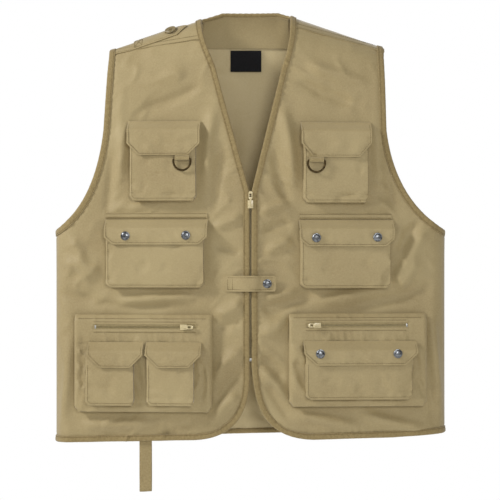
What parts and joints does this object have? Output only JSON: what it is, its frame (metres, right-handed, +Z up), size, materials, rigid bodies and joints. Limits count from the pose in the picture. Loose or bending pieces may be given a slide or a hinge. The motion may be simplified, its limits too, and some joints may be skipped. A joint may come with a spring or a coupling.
{
  "type": "fishing vest",
  "caption": "Sleeveless twill vest with a zipped front, bellows and zipped pockets, snap and hook-and-loop flaps, D-rings and a shoulder strap.",
  "frame": {"origin": "the hanger seat, at the middle of the neck opening level with the top of the back neck", "axes": "+Z up along the vest's length, +Y towards the back, the zipped front faces -Y, -X is the wearer's right"},
  "size_m": [0.6378, 0.1139, 0.7825],
  "materials": {
    "twill": "khaki cotton twill, matt",
    "tape": "khaki cotton binding and webbing, matt",
    "label": "black woven satin",
    "button": "moulded resin, satin",
    "snap": "gunmetal plating, polished dome",
    "ring": "antique dark brass",
    "slider": "cream enamel over cast zinc",
    "zip": "woven tape with moulded teeth"
  },
  "bodies": {
    "back": {"back_panel": "twill", "neck_binding": "tape", "back_hem_binding": "tape", "neck_facing": "twill", "size_label": "label", "strap_button": "button"},
    "shoulder_strap": {"shoulder_strap": "twill"},
    "hem_loop": {"hem_loop": "tape"},
    "closure_tab": {"closure_tab": "twill", "tab_cap": "snap"},
    "main_slider": {"main_slider": "slider"},
    "main_pull": {"main_pull": "slider"},
    "right_front": {"right_front_panel": "twill", "right_front_edge_binding": "tape", "right_armhole_binding": "tape", "right_zip_tape": "zip", "right_chest_pocket": "twill", "right_ring_tab": "tape", "right_waist_pocket": "twill", "right_waist_right_stud": "snap", "right_waist_left_stud": "snap", "right_lower_pocket": "twill", "right_lower_zip": "zip", "right_outer_pocket": "twill", "right_inner_pocket": "twill"},
    "left_front": {"left_front_panel": "twill", "left_front_edge_binding": "tape", "left_armhole_binding": "tape", "left_zip_tape": "zip", "left_chest_pocket": "twill", "left_ring_tab": "tape", "left_waist_pocket": "twill", "left_waist_right_stud": "snap", "left_waist_left_stud": "snap", "left_lower_pocket": "twill", "left_lower_zip": "zip", "left_cargo_pocket": "twill", "left_cargo_right_stud": "snap", "left_cargo_left_stud": "snap", "tab_stud": "snap"},
    "right_lower_slider": {"right_lower_slider": "slider"},
    "right_lower_pull": {"right_lower_pull": "slider"},
    "left_lower_slider": {"left_lower_slider": "slider"},
    "left_lower_pull": {"left_lower_pull": "slider"},
    "right_d_ring": {"right_d_ring": "ring"},
    "left_d_ring": {"left_d_ring": "ring"},
    "right_chest_flap": {"right_chest_flap": "twill"},
    "right_waist_flap": {"right_waist_flap": "twill", "right_waist_left_cap": "snap", "right_waist_right_cap": "snap"},
    "right_outer_flap": {"right_outer_flap": "twill"},
    "right_inner_flap": {"right_inner_flap": "twill"},
    "left_chest_flap": {"left_chest_flap": "twill"},
    "left_waist_flap": {"left_waist_flap": "twill", "left_waist_left_cap": "snap", "left_waist_right_cap": "snap"},
    "left_cargo_flap": {"left_cargo_flap": "twill", "left_cargo_left_cap": "snap", "left_cargo_right_cap": "snap"}
  },
  "joints": [
    {"name": "right_front_opening", "type": "hinge", "parent": "back", "child": "right_front", "pos_m": [-0.318, 0, -0.35], "axis": [0, 0, -1], "range_deg": [0, 25]},
    {"name": "left_front_opening", "type": "hinge", "parent": "back", "child": "left_front", "pos_m": [0.318, 0, -0.35], "axis": [0, 0, 1], "range_deg": [0, 25]},
    {"name": "main_zip_travel", "type": "slide", "parent": "right_front", "child": "main_slider", "axis": [0, 0, -1], "range_m": [0, 0.245]},
    {"name": "main_pull_swing", "type": "hinge", "parent": "main_slider", "child": "main_pull", "pos_m": [0, -0.0572, -0.311], "axis": [1, 0, 0], "range_deg": [0, 170]},
    {"name": "right_lower_zip_travel", "type": "slide", "parent": "right_front", "child": "right_lower_slider", "axis": [-0.9973, 0.0738, 0], "range_m": [0, 0.138]},
    {"name": "right_lower_pull_swing", "type": "hinge", "parent": "right_lower_slider", "child": "right_lower_pull", "pos_m": [-0.10803, -0.06196, -0.513], "axis": [0, 0, -1], "range_deg": [0, 170]},
    {"name": "left_lower_zip_travel", "type": "slide", "parent": "left_front", "child": "left_lower_slider", "axis": [0.9973, 0.0738, 0], "range_m": [0, 0.14]},
    {"name": "left_lower_pull_swing", "type": "hinge", "parent": "left_lower_slider", "child": "left_lower_pull", "pos_m": [0.10803, -0.06196, -0.51], "axis": [0, 0, 1], "range_deg": [0, 170]},
    {"name": "closure_tab_swing", "type": "hinge", "parent": "right_front", "child": "closure_tab", "pos_m": [-0.041, -0.0517, -0.443], "axis": [0, 0, -1], "range_deg": [0, 140]},
    {"name": "hem_loop_swing", "type": "hinge", "parent": "right_front", "child": "hem_loop", "pos_m": [-0.16994, -0.03141, -0.693], "axis": [0.9973, -0.0738, 0], "range_deg": [-5, 60]},
    {"name": "right_chest_flap_lift", "type": "hinge", "parent": "right_front", "child": "right_chest_flap", "pos_m": [-0.13983, -0.04457, -0.18], "axis": [-0.9973, 0.0738, 0], "range_deg": [0, 120]},
    {"name": "right_waist_flap_lift", "type": "hinge", "parent": "right_front", "child": "right_waist_flap", "pos_m": [-0.1518, -0.04368, -0.339], "axis": [-0.9973, 0.0738, 0], "range_deg": [0, 120]},
    {"name": "right_outer_flap_lift", "type": "hinge", "parent": "right_front", "child": "right_outer_flap", "pos_m": [-0.21753, -0.05115, -0.537], "axis": [-0.9973, 0.0738, 0], "range_deg": [0, 100]},
    {"name": "right_inner_flap_lift", "type": "hinge", "parent": "right_front", "child": "right_inner_flap", "pos_m": [-0.12379, -0.05809, -0.537], "axis": [-0.9973, 0.0738, 0], "range_deg": [0, 100]},
    {"name": "left_chest_flap_lift", "type": "hinge", "parent": "left_front", "child": "left_chest_flap", "pos_m": [0.13784, -0.04471, -0.182], "axis": [-0.9973, -0.0738, 0], "range_deg": [0, 120]},
    {"name": "left_waist_flap_lift", "type": "hinge", "parent": "left_front", "child": "left_waist_flap", "pos_m": [0.15479, -0.04346, -0.34], "axis": [-0.9973, -0.0738, 0], "range_deg": [0, 120]},
    {"name": "left_cargo_flap_lift", "type": "hinge", "parent": "left_front", "child": "left_cargo_flap", "pos_m": [0.17664, -0.05418, -0.535], "axis": [-0.9973, -0.0738, 0], "range_deg": [0, 100]},
    {"name": "right_d_ring_swing", "type": "hinge", "parent": "right_front", "child": "right_d_ring", "pos_m": [-0.11007, -0.06241, -0.2415], "axis": [-0.9973, 0.0738, 0], "range_deg": [0, 95]},
    {"name": "left_d_ring_swing", "type": "hinge", "parent": "left_front", "child": "left_d_ring", "pos_m": [0.10608, -0.0627, -0.2445], "axis": [-0.9973, -0.0738, 0], "range_deg": [0, 95]},
    {"name": "shoulder_strap_lift", "type": "hinge", "parent": "back", "child": "shoulder_strap", "pos_m": [-0.19, -0.0154, -0.05204], "axis": [0, -0.8291, -0.5591], "range_deg": [0, 110]}
  ],
  "couplings": [
    {"joint": "left_front_opening", "follows": "right_front_opening", "ratio": 1}
  ]
}
